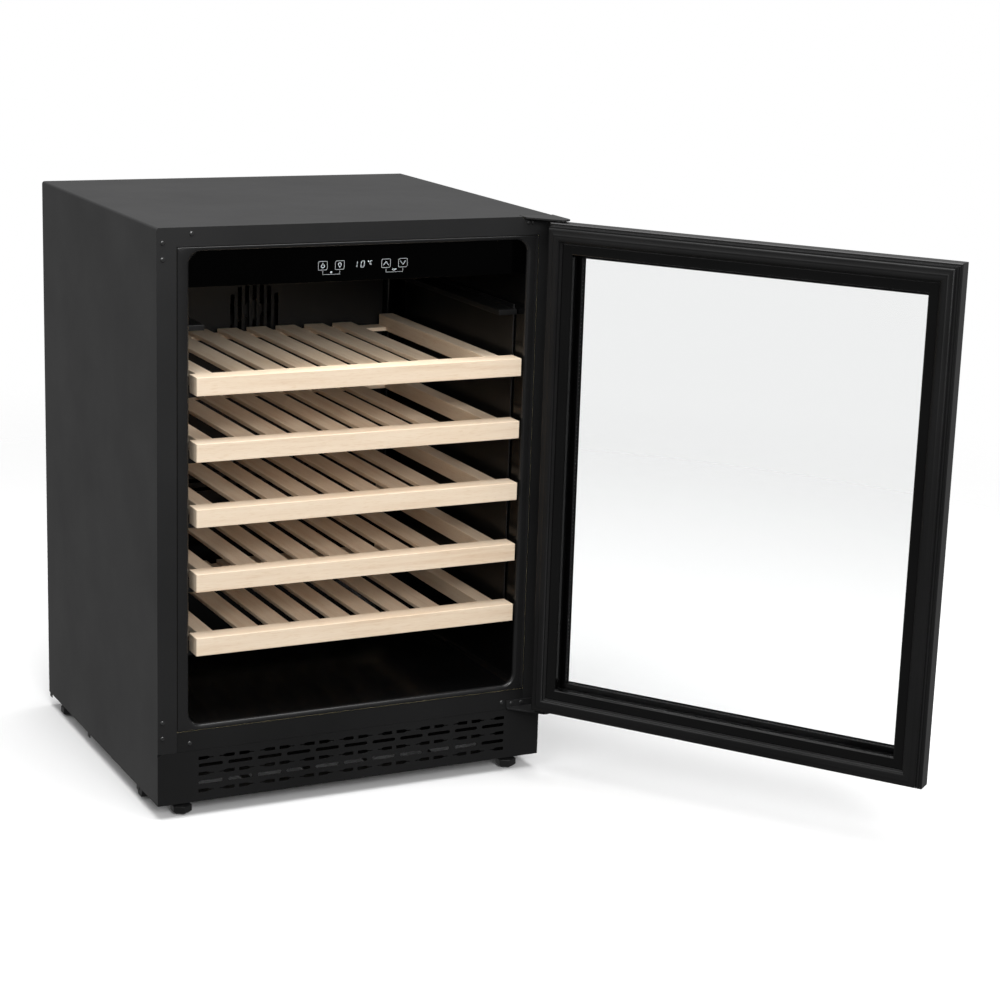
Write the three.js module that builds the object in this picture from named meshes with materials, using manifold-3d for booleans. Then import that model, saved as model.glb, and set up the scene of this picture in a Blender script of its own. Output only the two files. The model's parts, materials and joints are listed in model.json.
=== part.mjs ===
// Under-counter wine cooler with its glass door standing open.
// Millimetres. +X is to the right, +Y to the back, +Z up. The origin lies on the floor, under the
// middle of the cabinet.
import * as THREE from 'three';
import { mergeVertices } from 'three/addons/utils/BufferGeometryUtils.js';
import Module from 'manifold-3d';

const wasm = await Module();
wasm.setup();

// ---------------------------------------------------------------- driving dimensions

const GAP = 0.3;
const SHEET = 1.2;

const CABINET = { width: 595, depth: 538, top: 831, underside: 22, cornerRadius: 4 };
const HALF = CABINET.width / 2;
const FRONT = -CABINET.depth / 2;
const BACK = CABINET.depth / 2;

const STILE_WIDTH = 27.9;
const HEADER_BOTTOM = 805;
const SILL = { bottom: 98.2, top: 127.7 };

const CAVITY = { half: 252, floor: 136, ceiling: 798, radius: 18, depth: 472 };
const LINER_WALL = 2;
const LIP = { radius: 5, segments: 4, proud: 1 };
const STEP = { depth: 372, top: 225 };
const FOAM = { bottom: 104, bayDepth: 340, bayCeiling: 190 };

const SHELF = { count: 5, lowestTop: 263.6, pitch: 91.4 };
const SHELF_FRONT = { halfWidth: 244.2, height: 25.6, thickness: 30, proud: 8 };
const RACK = { halfWidth: 230, railWidth: 24, back: 413, slats: 7, slatWidth: 32, battenWidth: 28 };
const RUNNER = { inner: 222, ledgeHeight: 8, front: 24, back: 410, levels: 6, plate: 3 };

const PANEL = { bottom: 749.5, face: 4, glass: 3, housingBack: 60, wall: 2 };

const DOOR = { half: 299, bottom: 105.9, top: 827, thickness: 34, standoff: 9, openAngle: 125.4 };
const HINGE = { x: 287.7, ahead: 36, pinRadius: 4, boreRadius: 4.1, pinLength: 16 };
const HANDLE = { inset: 18, width: 14, standoff: 28, depth: 12, low: 190, high: 750, postInset: 40 };
const HANDLE_POST_RADIUS = 6;

const FOOT = { radius: 15.5, tread: 9.5, stem: 5, stemTop: 62 };
const FEET = {
  foot_front_left: [-256, 22],
  foot_front_right: [256, 22],
  foot_rear_left: [-280, 480],
  foot_rear_right: [280, 480],
};
const GLIDE = { x: 281, depth: 95, width: 24, length: 30, bottom: 4 };

const FINISHES = {
  caseBlack: { color: 0x2b2b2c, roughness: 0.45, metalness: 0.3 },
  linerBlack: { color: 0x161616, roughness: 0.35, metalness: 0 },
  glossBlack: { color: 0x050505, roughness: 0.08, metalness: 0 },
  frameBlack: { color: 0x2a2a2b, roughness: 0.35, metalness: 0.6 },
  rubberBlack: { color: 0x222222, roughness: 0.6, metalness: 0 },
  beech: { color: 0xecd5b9, roughness: 0.55, metalness: 0 },
  glass: { color: 0xf4f6f8, roughness: 0.03, metalness: 0, transparent: true, opacity: 0.3 },
  lens: { color: 0xf2f2ee, roughness: 0.3, metalness: 0 },
  zinc: { color: 0x9a9c9e, roughness: 0.4, metalness: 0.9 },
  aluminium: { color: 0xc3c5c8, roughness: 0.4, metalness: 0.9 },
  foam: { color: 0xd9cfa6, roughness: 0.9, metalness: 0 },
  boardGreen: { color: 0x1c4a2c, roughness: 0.5, metalness: 0 },
};

// ---------------------------------------------------------------- geometry helpers

// Depths are measured back from the cabinet's front face.
const behind = (depth) => FRONT + depth;

function block([x0, x1], [y0, y1], [z0, z1]) {
  const geometry = new THREE.BoxGeometry(x1 - x0, y1 - y0, z1 - z0);
  return geometry.translate((x0 + x1) / 2, (y0 + y1) / 2, (z0 + z1) / 2);
}

function outline(points) {
  return new THREE.Shape(points.map(([u, v]) => new THREE.Vector2(u, v)));
}

// A rectangle with its four corners rounded, or only the upper two.
function roundedRectangle([u0, u1], [v0, v1], radius, lowerRadius = radius) {
  const shape = new THREE.Shape();
  shape.moveTo(u0 + lowerRadius, v0);
  shape.lineTo(u1 - lowerRadius, v0);
  if (lowerRadius > 0) {
    shape.absarc(u1 - lowerRadius, v0 + lowerRadius, lowerRadius, -Math.PI / 2, 0);
  }
  shape.lineTo(u1, v1 - radius);
  shape.absarc(u1 - radius, v1 - radius, radius, 0, Math.PI / 2);
  shape.lineTo(u0 + radius, v1);
  shape.absarc(u0 + radius, v1 - radius, radius, Math.PI / 2, Math.PI);
  shape.lineTo(u0, v0 + lowerRadius);
  if (lowerRadius > 0) {
    shape.absarc(u0 + lowerRadius, v0 + lowerRadius, lowerRadius, Math.PI, 1.5 * Math.PI);
  }
  return shape;
}

// A quarter turn of the shape's arcs takes twice curveSegments facets.
function extrude(shape, length, curveSegments, bevel = { bevelEnabled: false }) {
  return new THREE.ExtrudeGeometry(shape, { depth: length, curveSegments, ...bevel });
}

// The shape is drawn in X and Y.
const prismZ = (shape, [z0, z1]) => extrude(shape, z1 - z0, 2).translate(0, 0, z0);

// The shape is drawn in X and Z.
function prismY(shape, [y0, y1], curveSegments = 3) {
  return extrude(shape, y1 - y0, curveSegments).rotateX(Math.PI / 2).translate(0, y1, 0);
}

// The shape is drawn in Y and Z.
function prismX(shape, [x0, x1]) {
  const turn = new THREE.Matrix4().makeBasis(
    new THREE.Vector3(0, 1, 0),
    new THREE.Vector3(0, 0, 1),
    new THREE.Vector3(1, 0, 0),
  );
  return extrude(shape, x1 - x0, 1).applyMatrix4(turn).translate(x0, 0, 0);
}

function cylinderZ(x, y, [z0, z1], radius, segments = 24) {
  const geometry = new THREE.CylinderGeometry(radius, radius, z1 - z0, segments);
  return geometry.rotateX(Math.PI / 2).translate(x, y, (z0 + z1) / 2);
}

function cylinderY(x, [y0, y1], z, radius, segments = 24) {
  const geometry = new THREE.CylinderGeometry(radius, radius, y1 - y0, segments);
  return geometry.translate(x, (y0 + y1) / 2, z);
}

// The profile lists radius and height, and turns about an upright axis.
function turned(profile, x, y, segments = 24) {
  const points = profile.map(([radius, height]) => new THREE.Vector2(radius, height));
  return new THREE.LatheGeometry(points, segments).rotateX(Math.PI / 2).translate(x, y, 0);
}

// ---------------------------------------------------------------- joins and cuts

function toSolid(piece) {
  if (!piece.isBufferGeometry) return piece;
  const bare = piece.clone();
  bare.deleteAttribute('normal');
  bare.deleteAttribute('uv');
  const merged = mergeVertices(bare, 1e-4);
  return new wasm.Manifold(new wasm.Mesh({
    numProp: 3,
    vertProperties: new Float32Array(merged.attributes.position.array),
    triVerts: new Uint32Array(merged.index.array),
  }));
}

function toGeometry(solid) {
  const { vertProperties, triVerts } = solid.getMesh();
  const geometry = new THREE.BufferGeometry();
  geometry.setAttribute('position', new THREE.BufferAttribute(new Float32Array(vertProperties), 3));
  geometry.setIndex(new THREE.BufferAttribute(new Uint32Array(triVerts), 1));
  return geometry;
}

function join(first, ...others) {
  return others.reduce((solid, piece) => solid.add(toSolid(piece)), toSolid(first));
}

function cut(first, ...others) {
  return others.reduce((solid, piece) => solid.subtract(toSolid(piece)), toSolid(first));
}

function common(first, second) {
  return toSolid(first).intersect(toSolid(second));
}

// ---------------------------------------------------------------- outer case

const INSIDE = HALF - SHEET - GAP;
const OPENING_HALF = HALF - STILE_WIDTH;
const HINGE_NOTCH = { left: 243, depth: 14, bottom: 828.5 };

// One sheet bent over the left side, the top and the right side, with its front edges folded in.
function outerWrap() {
  const { top, underside, cornerRadius } = CABINET;
  const outside = roundedRectangle([-HALF, HALF], [underside, top], cornerRadius, 0);
  const inside = roundedRectangle(
    [SHEET - HALF, HALF - SHEET], [underside - 1, top - SHEET], cornerRadius - SHEET, 0,
  );
  const tabLength = 10;
  const tabDrop = 6;
  let wrap = cut(
    prismY(outside, [FRONT, BACK]),
    prismY(inside, [FRONT + SHEET, BACK + 1]),
    block([-OPENING_HALF, OPENING_HALF], [FRONT - 1, FRONT + 5], [0, HEADER_BOTTOM]),
    block([-HALF - 1, HALF + 1], [FRONT - 1, FRONT + SHEET + GAP], [0, SILL.bottom]),
    block(
      [HINGE_NOTCH.left, HALF + 1], [FRONT - 1, behind(HINGE_NOTCH.depth)], [HINGE_NOTCH.bottom, top + 1],
    ),
  );
  for (const side of [-1, 1]) {
    for (const depth of [90, 326, 528]) {
      const outer = side * HALF;
      const across = [Math.min(outer, outer - side * SHEET), Math.max(outer, outer - side * SHEET)];
      const along = [behind(depth - tabLength / 2), behind(depth + tabLength / 2)];
      wrap = join(wrap, block(across, along, [underside - tabDrop, underside + 1]));
    }
  }
  return cut(wrap, ...frameStuds().map(studHole));
}

// The space inside the wrap, seen from the front.
function insideShape(z0) {
  const { top, cornerRadius } = CABINET;
  return roundedRectangle([-INSIDE, INSIDE], [z0, top - SHEET - GAP], cornerRadius - SHEET - GAP, 0);
}

// Domed studs on a plate behind each corner hold the front frame together. Two of them pass through
// the stile, and one through the header or the sill bar. At the upper right the hinge takes its place.
const STUD = { radius: 2.6, head: 3.4, headHeight: 1.4, edge: 5, facets: 12 };
const CORNER_PLATES = {
  corner_plate_upper_left: { side: -1, upright: [[288.8, 810.9], [288.8, 788.6]], level: [248.6, 822.1] },
  corner_plate_upper_right: { side: 1, upright: [[288.8, 810.9], [288.8, 788.6]] },
  corner_plate_lower_left: { side: -1, upright: [[290.3, 144.2], [290.3, 121.3]], level: [250.8, 109.7] },
  corner_plate_lower_right: { side: 1, upright: [[290.3, 144.2], [290.3, 121.3]], level: [235, 109.7] },
};
const HINGE_STUDS = [[252.6, 822.4], [259.6, 822.4]];

function frameStuds() {
  const plates = Object.values(CORNER_PLATES);
  const studs = plates.flatMap(({ side, upright, level }) => (
    [...upright, ...(level ? [level] : [])].map(([x, z]) => [side * x, z])
  ));
  return [...studs, ...HINGE_STUDS];
}

function studHole([x, z]) {
  return cylinderY(x, [FRONT - 1, FRONT + 5], z, STUD.radius, STUD.facets);
}

const PLATE_DEPTHS = [behind(SHEET + GAP), behind(SHEET + GAP + 1.5)];

function dome(radius, height) {
  const profile = [[0, 0], [radius, 0], [0.8 * radius, 0.7 * height], [0.4 * radius, height], [0, height]];
  return turned(profile, 0, 0, STUD.facets);
}

function stud(x, z) {
  const face = FRONT - GAP;
  const { radius, head, headHeight, facets } = STUD;
  return join(
    dome(head, headHeight).rotateX(Math.PI / 2).translate(x, face, z),
    cylinderY(x, [face - 0.5, PLATE_DEPTHS[0] + 0.5], z, radius - GAP, facets),
  );
}

function cornerPlate({ side, upright, level }) {
  const { edge } = STUD;
  const outer = INSIDE - GAP;
  const spanX = (from) => (side > 0 ? [from, outer] : [-outer, -from]);
  const zs = upright.map(([, z]) => z);
  const columnX = spanX(upright[0][0] - edge);
  const studs = [...upright];
  const pieces = [block(columnX, PLATE_DEPTHS, [Math.min(...zs) - edge, Math.max(...zs) + edge])];
  if (level) {
    const [x, z] = level;
    studs.push(level);
    pieces.push(block(spanX(x - edge), PLATE_DEPTHS, [z - edge, z + edge]));
    pieces.push(block(columnX, PLATE_DEPTHS, [Math.min(z, ...zs), Math.max(z, ...zs)]));
  }
  return join(...pieces, ...studs.map(([x, z]) => stud(side * x, z)));
}

function sillBar() {
  const half = OPENING_HALF - GAP;
  const bar = block([-half, half], [FRONT, FRONT + SHEET], [SILL.bottom, SILL.top - GAP]);
  return cut(bar, ...frameStuds().map(studHole));
}

// ---------------------------------------------------------------- kick plate

const VENTS = {
  left: -238,
  right: 240,
  rows: [85.5, 74.9, 62.3, 49.6, 37.4],
  height: 5.2,
  longCount: 11,
  longWidth: 36.5,
  bottlePairs: 8,
  bottleLength: 22.5,
  bottleShift: 31.2,
};

function longSlot(x, z) {
  const radius = VENTS.height / 2;
  return roundedRectangle([x, x + VENTS.longWidth], [z - radius, z + radius], radius - 0.01);
}

// A lying bottle: straight body, sloping shoulder and narrow neck.
function bottleSlot(x, z, direction) {
  const { bottleLength, height } = VENTS;
  const body = height / 2;
  const neck = height / 7;
  const along = (share) => (direction > 0 ? x + share * bottleLength : x + (1 - share) * bottleLength);
  return outline([
    [along(0), z - body], [along(0.58), z - body], [along(0.76), z - neck], [along(1), z - neck],
    [along(1), z + neck], [along(0.76), z + neck], [along(0.58), z + body], [along(0), z + body],
  ]);
}

function ventSlots() {
  const span = VENTS.right - VENTS.left;
  const pairSpan = VENTS.bottleShift + VENTS.bottleLength;
  const longPitch = (span - VENTS.longWidth) / (VENTS.longCount - 1);
  const pairPitch = (span - pairSpan) / (VENTS.bottlePairs - 1);
  const slots = [];
  VENTS.rows.forEach((z, row) => {
    const isLong = row % 2 === 1;
    for (let i = 0; isLong && i < VENTS.longCount; i += 1) {
      slots.push(longSlot(VENTS.left + i * longPitch, z));
    }
    for (let i = 0; !isLong && i < VENTS.bottlePairs; i += 1) {
      const x = VENTS.left + i * pairPitch;
      slots.push(bottleSlot(x, z, 1), bottleSlot(x + VENTS.bottleShift, z, -1));
    }
  });
  return slots;
}

function kickPlate() {
  const plate = roundedRectangle([-HALF, HALF], [CABINET.underside, SILL.bottom - GAP], 5, 1);
  const through = [FRONT - 1, FRONT + SHEET + 1];
  const holes = ventSlots().map((slot) => prismY(slot, through, 1));
  return cut(prismY(plate, [FRONT, FRONT + SHEET], 1), ...holes);
}

// ---------------------------------------------------------------- liner and insulation

const cavityShape = (grow) => roundedRectangle(
  [-CAVITY.half - grow, CAVITY.half + grow],
  [CAVITY.floor - grow, CAVITY.ceiling + grow],
  CAVITY.radius + grow,
);

// The liner's outside, or its cavity when nothing is added: a rounded box with a step at the back.
function cavitySolid(grow, frontDepth) {
  const wide = HALF + 10;
  return cut(
    prismY(cavityShape(grow), [behind(frontDepth), behind(CAVITY.depth + grow)]),
    block([-wide, wide], [behind(STEP.depth + grow), BACK + 10], [0, STEP.top - grow]),
  );
}

function trimBlock(grow, depths) {
  const half = OPENING_HALF - GAP + grow;
  return block([-half, half], depths.map(behind), [SILL.top - grow, HEADER_BOTTOM - GAP + grow]);
}

// The lip comes from the rounded edge of a large plate's hole, trimmed to the liner's outline.
function linerLip() {
  const plate = roundedRectangle([-2 * HALF, 2 * HALF], [-CABINET.top, 2 * CABINET.top], 1);
  plate.holes.push(cavityShape(LIP.radius));
  const bevel = {
    bevelEnabled: true,
    bevelThickness: LIP.radius,
    bevelSize: LIP.radius,
    bevelSegments: LIP.segments,
  };
  const core = 10;
  const lip = extrude(plate, core, 3, bevel).rotateX(Math.PI / 2);
  lip.translate(0, behind(LIP.radius + core - LIP.proud), 0);
  return common(lip, trimBlock(0, [-LIP.proud, LIP.radius + 1]));
}

function liner() {
  const shell = cut(cavitySolid(LINER_WALL, LIP.radius), cavitySolid(0, LIP.radius - 2));
  return join(linerLip(), shell);
}

const HINGE_LEG = { left: 245, right: 268, bottom: 814 };

function insulation() {
  const { bottom, bayDepth, bayCeiling } = FOAM;
  const front = behind(SHEET + GAP);
  const back = BACK - SHEET - GAP;
  const top = CABINET.top - SHEET - GAP;
  const side = outline([
    [front, bottom], [behind(bayDepth), bottom], [behind(bayDepth), bayCeiling],
    [back, bayCeiling], [back, top], [front, top],
  ]);
  const recess = [FRONT - 5, PLATE_DEPTHS[1] + GAP];
  const corners = [-1, 1].flatMap((side) => {
    const across = side > 0 ? [228, HALF] : [-HALF, -228];
    return [block(across, recess, [780, CABINET.top]), block(across, recess, [FOAM.bottom - 1, 152])];
  });
  return cut(
    common(prismX(side, [-INSIDE, INSIDE]), prismY(insideShape(bottom), [front, back])),
    cavitySolid(LINER_WALL + GAP, -5),
    trimBlock(GAP, [-5, LIP.radius + 1 + GAP]),
    block(
      [HINGE_NOTCH.left, HALF], [FRONT - 5, behind(HINGE_NOTCH.depth + GAP)],
      [HINGE_LEG.bottom - GAP, CABINET.top],
    ),
    ...corners,
  );
}

// ---------------------------------------------------------------- back, base and feet

function backPanel() {
  return prismY(insideShape(FOAM.bayCeiling), [BACK - SHEET, BACK]);
}

const INLET = { x: -225, z: 70, halfWidth: 16, halfHeight: 13 };

function rearGrille() {
  const z0 = CABINET.underside + SHEET + 2 * GAP;
  const through = [BACK - SHEET - 1, BACK + 1];
  const slot = { rows: 6, columns: 7, left: -140, low: 48, width: 44, height: 6, pitchX: 58, pitchZ: 19 };
  const holes = [];
  for (let row = 0; row < slot.rows; row += 1) {
    for (let column = 0; column < slot.columns; column += 1) {
      const x = slot.left + column * slot.pitchX;
      const z = slot.low + row * slot.pitchZ;
      holes.push(block([x, x + slot.width], through, [z, z + slot.height]));
    }
  }
  const { x, z, halfWidth, halfHeight } = INLET;
  holes.push(block([x - halfWidth, x + halfWidth], through, [z - halfHeight, z + halfHeight]));
  return cut(block([-INSIDE, INSIDE], [BACK - SHEET, BACK], [z0, FOAM.bayCeiling - GAP]), ...holes);
}

// A socket with a recess for the plug, held in the rear grille.
function powerInlet() {
  const { x, z, halfWidth, halfHeight } = INLET;
  const body = [halfWidth - GAP, halfHeight - GAP];
  const flange = 3;
  return cut(
    join(
      block([x - body[0], x + body[0]], [BACK - 26, BACK - 0.5], [z - body[1], z + body[1]]),
      block(
        [x - halfWidth - flange, x + halfWidth + flange], [BACK - 5, BACK - SHEET - GAP],
        [z - halfHeight - flange, z + halfHeight + flange],
      ),
    ),
    block([x - 12, x + 12], [BACK - 18, BACK + 1], [z - 8, z + 8]),
  );
}

function footPlace(name) {
  const [x, depth] = FEET[name];
  return [x, behind(depth)];
}

function basePan() {
  const { underside } = CABINET;
  const windows = { count: 5, width: 82, pitch: 96, depths: [55, 74].map(behind) };
  const through = [underside - 1, underside + SHEET + 1];
  const holes = Object.keys(FEET).map((name) => (
    cylinderZ(...footPlace(name), through, FOOT.stem + GAP, 12)
  ));
  for (let i = 0; i < windows.count; i += 1) {
    const x = (i - (windows.count - 1) / 2) * windows.pitch;
    holes.push(block([x - windows.width / 2, x + windows.width / 2], windows.depths, through));
  }
  const pan = block([-INSIDE, INSIDE], [behind(SHEET + GAP), BACK], [underside, underside + SHEET]);
  return cut(pan, ...holes);
}

// A hexagonal pad with chamfered edges on a threaded stem.
function levellingFoot(name) {
  const { radius, tread, stem, stemTop } = FOOT;
  const [x, y] = footPlace(name);
  const pad = turned([[0, 0], [tread, 0], [radius, 4], [radius, 13], [tread, 17], [0, 17]], x, y, 6);
  return join(pad, cylinderZ(x, y, [16, stemTop], stem, 12));
}

// A moulded skid that clears the floor until the feet are screwed in.
function glide(side) {
  const { x, depth, width, length, bottom } = GLIDE;
  const profile = outline([
    [behind(depth - length / 2), CABINET.underside - GAP], [behind(depth - length / 4), bottom],
    [behind(depth + length / 4), bottom], [behind(depth + length / 2), CABINET.underside - GAP],
  ]);
  return prismX(profile, [side * x - width / 2, side * x + width / 2]);
}

// ---------------------------------------------------------------- controls and light

const LENS = { half: 130, depths: [24, 46] };

function panelSection(grow, z0) {
  const shape = cavityShape(-0.5 - grow);
  return { shape, trim: block([-HALF, HALF], [FRONT - 10, BACK], [z0, CABINET.top]) };
}

function controlGlass() {
  const { shape, trim } = panelSection(0, PANEL.bottom);
  return common(prismY(shape, [behind(PANEL.face), behind(PANEL.face + PANEL.glass)]), trim);
}

function controlHousing() {
  const { face, glass, housingBack, wall, bottom } = PANEL;
  const front = face + glass + GAP;
  const outer = panelSection(0, bottom);
  const inner = panelSection(wall, bottom + wall);
  const lensX = LENS.half + GAP;
  const lensY = [behind(LENS.depths[0] - GAP), behind(LENS.depths[1] + GAP)];
  return cut(
    common(prismY(outer.shape, [behind(front), behind(housingBack)]), outer.trim),
    common(prismY(inner.shape, [behind(front - 1), behind(housingBack - wall)]), inner.trim),
    block([-lensX, lensX], lensY, [bottom - 5, bottom + 5]),
  );
}

function controlBoard() {
  return block([-95, 95], [behind(12), behind(13.6)], [PANEL.bottom + 6, PANEL.bottom + 40]);
}

function lightLens() {
  const z0 = PANEL.bottom - 1.5;
  return block([-LENS.half, LENS.half], LENS.depths.map(behind), [z0, z0 + 4]);
}

// ---------------------------------------------------------------- cooling inside the cavity

const DUCT = { half: 215, bottom: 330, top: 735, face: 420, wall: 2, fanZ: 640, fanRadius: 44 };

function ductCover() {
  const { half, bottom, top, face, wall, fanZ, fanRadius } = DUCT;
  const back = CAVITY.depth - GAP;
  let cover = cut(
    prismY(roundedRectangle([-half, half], [bottom, top], 14), [behind(face), behind(back)]),
    prismY(roundedRectangle([wall - half, half - wall], [bottom + wall, top - wall], 12), [
      behind(face + wall), behind(back + 1),
    ]),
  );
  const through = [behind(face - 1), behind(face + wall + 1)];
  const slot = { width: 6, pitch: 12 };
  for (let i = -3; i <= 3; i += 1) {
    const x = i * slot.pitch;
    const reach = Math.sqrt(fanRadius ** 2 - x ** 2);
    const across = [x - slot.width / 2, x + slot.width / 2];
    cover = cut(cover, block(across, through, [fanZ - reach, fanZ + reach]));
  }
  const inlet = { half: 150, low: 360, rows: 5, pitch: 14, height: 6 };
  for (let i = 0; i < inlet.rows; i += 1) {
    const z = inlet.low + i * inlet.pitch;
    cover = cut(cover, block([-inlet.half, inlet.half], through, [z, z + inlet.height]));
  }
  return cover;
}

// A core with upright fins.
function finBlock([x0, x1], [d0, d1], [z0, z1], fins) {
  const inset = 5;
  const thickness = 1.6;
  const core = block([x0, x1], [behind(d0 + inset), behind(d1 - inset)], [z0 + inset, z1 - inset]);
  let stack = toSolid(core);
  for (let i = 0; i < fins; i += 1) {
    const x = x0 + ((x1 - x0 - thickness) * i) / (fins - 1);
    stack = join(stack, block([x, x + thickness], [behind(d0), behind(d1)], [z0, z1]));
  }
  return stack;
}

// A square frame with a round opening and three struts that carry the motor.
function fanFrame(x, z, [d0, d1], radius, half) {
  const depths = [behind(d0), behind(d1)];
  const motor = 16;
  let frame = cut(
    block([x - half, x + half], depths, [z - half, z + half]),
    cylinderY(x, [depths[0] - 1, depths[1] + 1], z, radius, 32),
  );
  for (let i = 0; i < 3; i += 1) {
    const strut = new THREE.BoxGeometry(radius + 2, 2, 5).translate((radius + 2) / 2, 0, 0);
    strut.rotateY((i * 2 * Math.PI) / 3).translate(x, depths[1] - 2, z);
    frame = join(frame, strut);
  }
  return join(frame, cylinderY(x, [depths[1] - 5, depths[1]], z, motor, 16));
}

// A hub with pitched blades that turns about Y.
function fanRotor(x, z, [d0, d1], radius) {
  const hub = 15;
  const blades = 7;
  const pitch = 0.6;
  const blade = { chord: 15, thickness: 1.4 };
  const middle = (behind(d0) + behind(d1)) / 2;
  let rotor = toSolid(cylinderY(x, [behind(d0), behind(d1)], z, hub, 16));
  for (let i = 0; i < blades; i += 1) {
    const span = radius - hub + 2;
    const wing = new THREE.BoxGeometry(span, blade.thickness, blade.chord).rotateX(pitch);
    wing.translate(hub - 2 + span / 2, 0, 0).rotateY((i * 2 * Math.PI) / blades).translate(x, middle, z);
    rotor = join(rotor, wing);
  }
  return rotor;
}

function temperatureProbe() {
  const [x, z] = [170, 700];
  return join(
    cylinderZ(x, behind(DUCT.face - 6), [z - 18, z + 18], 3.5, 12),
    block([x - 6, x + 6], [behind(DUCT.face - 7), behind(DUCT.face - GAP)], [z - 5, z + 5]),
  );
}

// ---------------------------------------------------------------- machine bay

function compressor() {
  const [x, y] = [120, behind(455)];
  const floor = CABINET.underside + SHEET + GAP;
  const shell = turned([
    [0, floor + 4], [60, floor + 4], [72, floor + 20], [72, floor + 95],
    [62, floor + 125], [30, floor + 140], [0, floor + 143],
  ], x, y, 28);
  const plate = block([x - 95, x + 95], [y - 62, y + 62], [floor, floor + 6]);
  const terminals = block([x - 100, x - 60], [y - 22, y + 22], [floor + 45, floor + 90]);
  return join(shell, plate, terminals);
}

function dripTray() {
  const floor = CABINET.underside + SHEET + GAP;
  const across = [70, 240];
  const along = [behind(150), behind(300)];
  const wall = 1.6;
  const hollowX = [across[0] + wall, across[1] - wall];
  const hollowY = [along[0] + wall, along[1] - wall];
  return cut(
    block(across, along, [floor, floor + 20]),
    block(hollowX, hollowY, [floor + wall, floor + 30]),
  );
}

// ---------------------------------------------------------------- shelves and runners

const shelfTop = (level) => SHELF.lowestTop + level * SHELF.pitch;

function shelfRunners(side) {
  const { inner, ledgeHeight, front, back, levels, plate } = RUNNER;
  const wall = CAVITY.half - GAP;
  const spanX = (a, b) => (side > 0 ? [a, b] : [-b, -a]);
  const ledgeTop = (level) => shelfTop(level) - SHELF_FRONT.height;
  let runners = toSolid(block(
    spanX(wall - plate, wall), [behind(front + 8), behind(back)],
    [ledgeTop(0) - 12, ledgeTop(levels - 1) + 6],
  ));
  for (let level = 0; level < levels; level += 1) {
    const top = ledgeTop(level);
    runners = join(
      runners,
      block(spanX(inner, wall - 1), [behind(front), behind(back)], [top - ledgeHeight, top]),
    );
  }
  return runners;
}

const BOARD_BACK = SHELF_FRONT.thickness - SHELF_FRONT.proud;

function shelfFront(level) {
  const top = shelfTop(level);
  const depths = [behind(-SHELF_FRONT.proud), behind(BOARD_BACK)];
  const section = roundedRectangle(depths, [top - SHELF_FRONT.height, top], 2);
  return prismX(section, [-SHELF_FRONT.halfWidth, SHELF_FRONT.halfWidth]);
}

// Side rails, cross battens and slats that run front to back.
function shelfRack(level) {
  const { halfWidth, railWidth, back, slats, slatWidth, battenWidth } = RACK;
  const top = shelfTop(level);
  const bottom = top - SHELF_FRONT.height + GAP;
  const along = [behind(BOARD_BACK + GAP), behind(back)];
  const inner = halfWidth - railWidth;
  let rack = join(
    block([-halfWidth, -inner], along, [bottom, top - 3]),
    block([inner, halfWidth], along, [bottom, top - 3]),
  );
  for (const start of [along[0], along[1] - battenWidth]) {
    rack = join(rack, block([-inner - 1, inner + 1], [start, start + battenWidth], [bottom, bottom + 6]));
  }
  const pitch = (2 * inner - slatWidth) / (slats + 1);
  for (let i = 1; i <= slats; i += 1) {
    const x = -inner + i * pitch;
    rack = join(rack, block([x, x + slatWidth], along, [bottom + 5, bottom + 12]));
  }
  return rack;
}

// ---------------------------------------------------------------- door, drawn closed

const OUTER_FACE = FRONT - DOOR.standoff - DOOR.thickness;
const HINGE_Y = FRONT - HINGE.ahead;

// Profiles list the distance in from the door's edge and the distance back from its outer face.
const FRAME_PROFILE = [
  [1.5, 0], [34, 0], [34, 4.6], [38, 4.6], [38, 18], [26, 18], [26, 34],
  [4, 34], [4, 26], [3.4, 25], [1, 25], [0, 24], [0, 1.5], [0.5, 0.5],
];
const BEZEL_PROFILE = [[26.3, 18.3], [41, 18.3], [41, 32.6], [39.8, 33.8], [26.3, 34.4]];
const GASKET_PROFILE = [
  [9.6, 34.3], [26, 34.7], [26, 36], [23.6, 36.6], [22.8, 39.4], [21.6, 41.4], [20.4, 42],
  [14.6, 42], [12.6, 41.2], [10.6, 40.4], [9.2, 38.8], [9.2, 36.4],
];
const SPACER_PROFILE = [[38.3, 4.6], [47, 4.6], [47, 13.7], [38.3, 13.7]];

// A ring that follows the door's edge. It starts as a small square made by a lathe with four facets,
// and its corners are then moved out to the door's corners.
function doorRing(profile) {
  const start = 200;
  const points = [...profile, profile[0]].reverse().map(([inset, back]) => (
    new THREE.Vector2((start - inset) * Math.SQRT2, back)
  ));
  const ring = new THREE.LatheGeometry(points, 4, Math.PI / 4);
  const corners = ring.attributes.position;
  const growX = DOOR.half - start;
  const growZ = (DOOR.top - DOOR.bottom) / 2 - start;
  for (let i = 0; i < corners.count; i += 1) {
    corners.setX(i, corners.getX(i) + Math.sign(corners.getX(i)) * growX);
    corners.setZ(i, corners.getZ(i) + Math.sign(corners.getZ(i)) * growZ);
  }
  return ring.translate(0, OUTER_FACE, (DOOR.bottom + DOOR.top) / 2);
}

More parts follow.
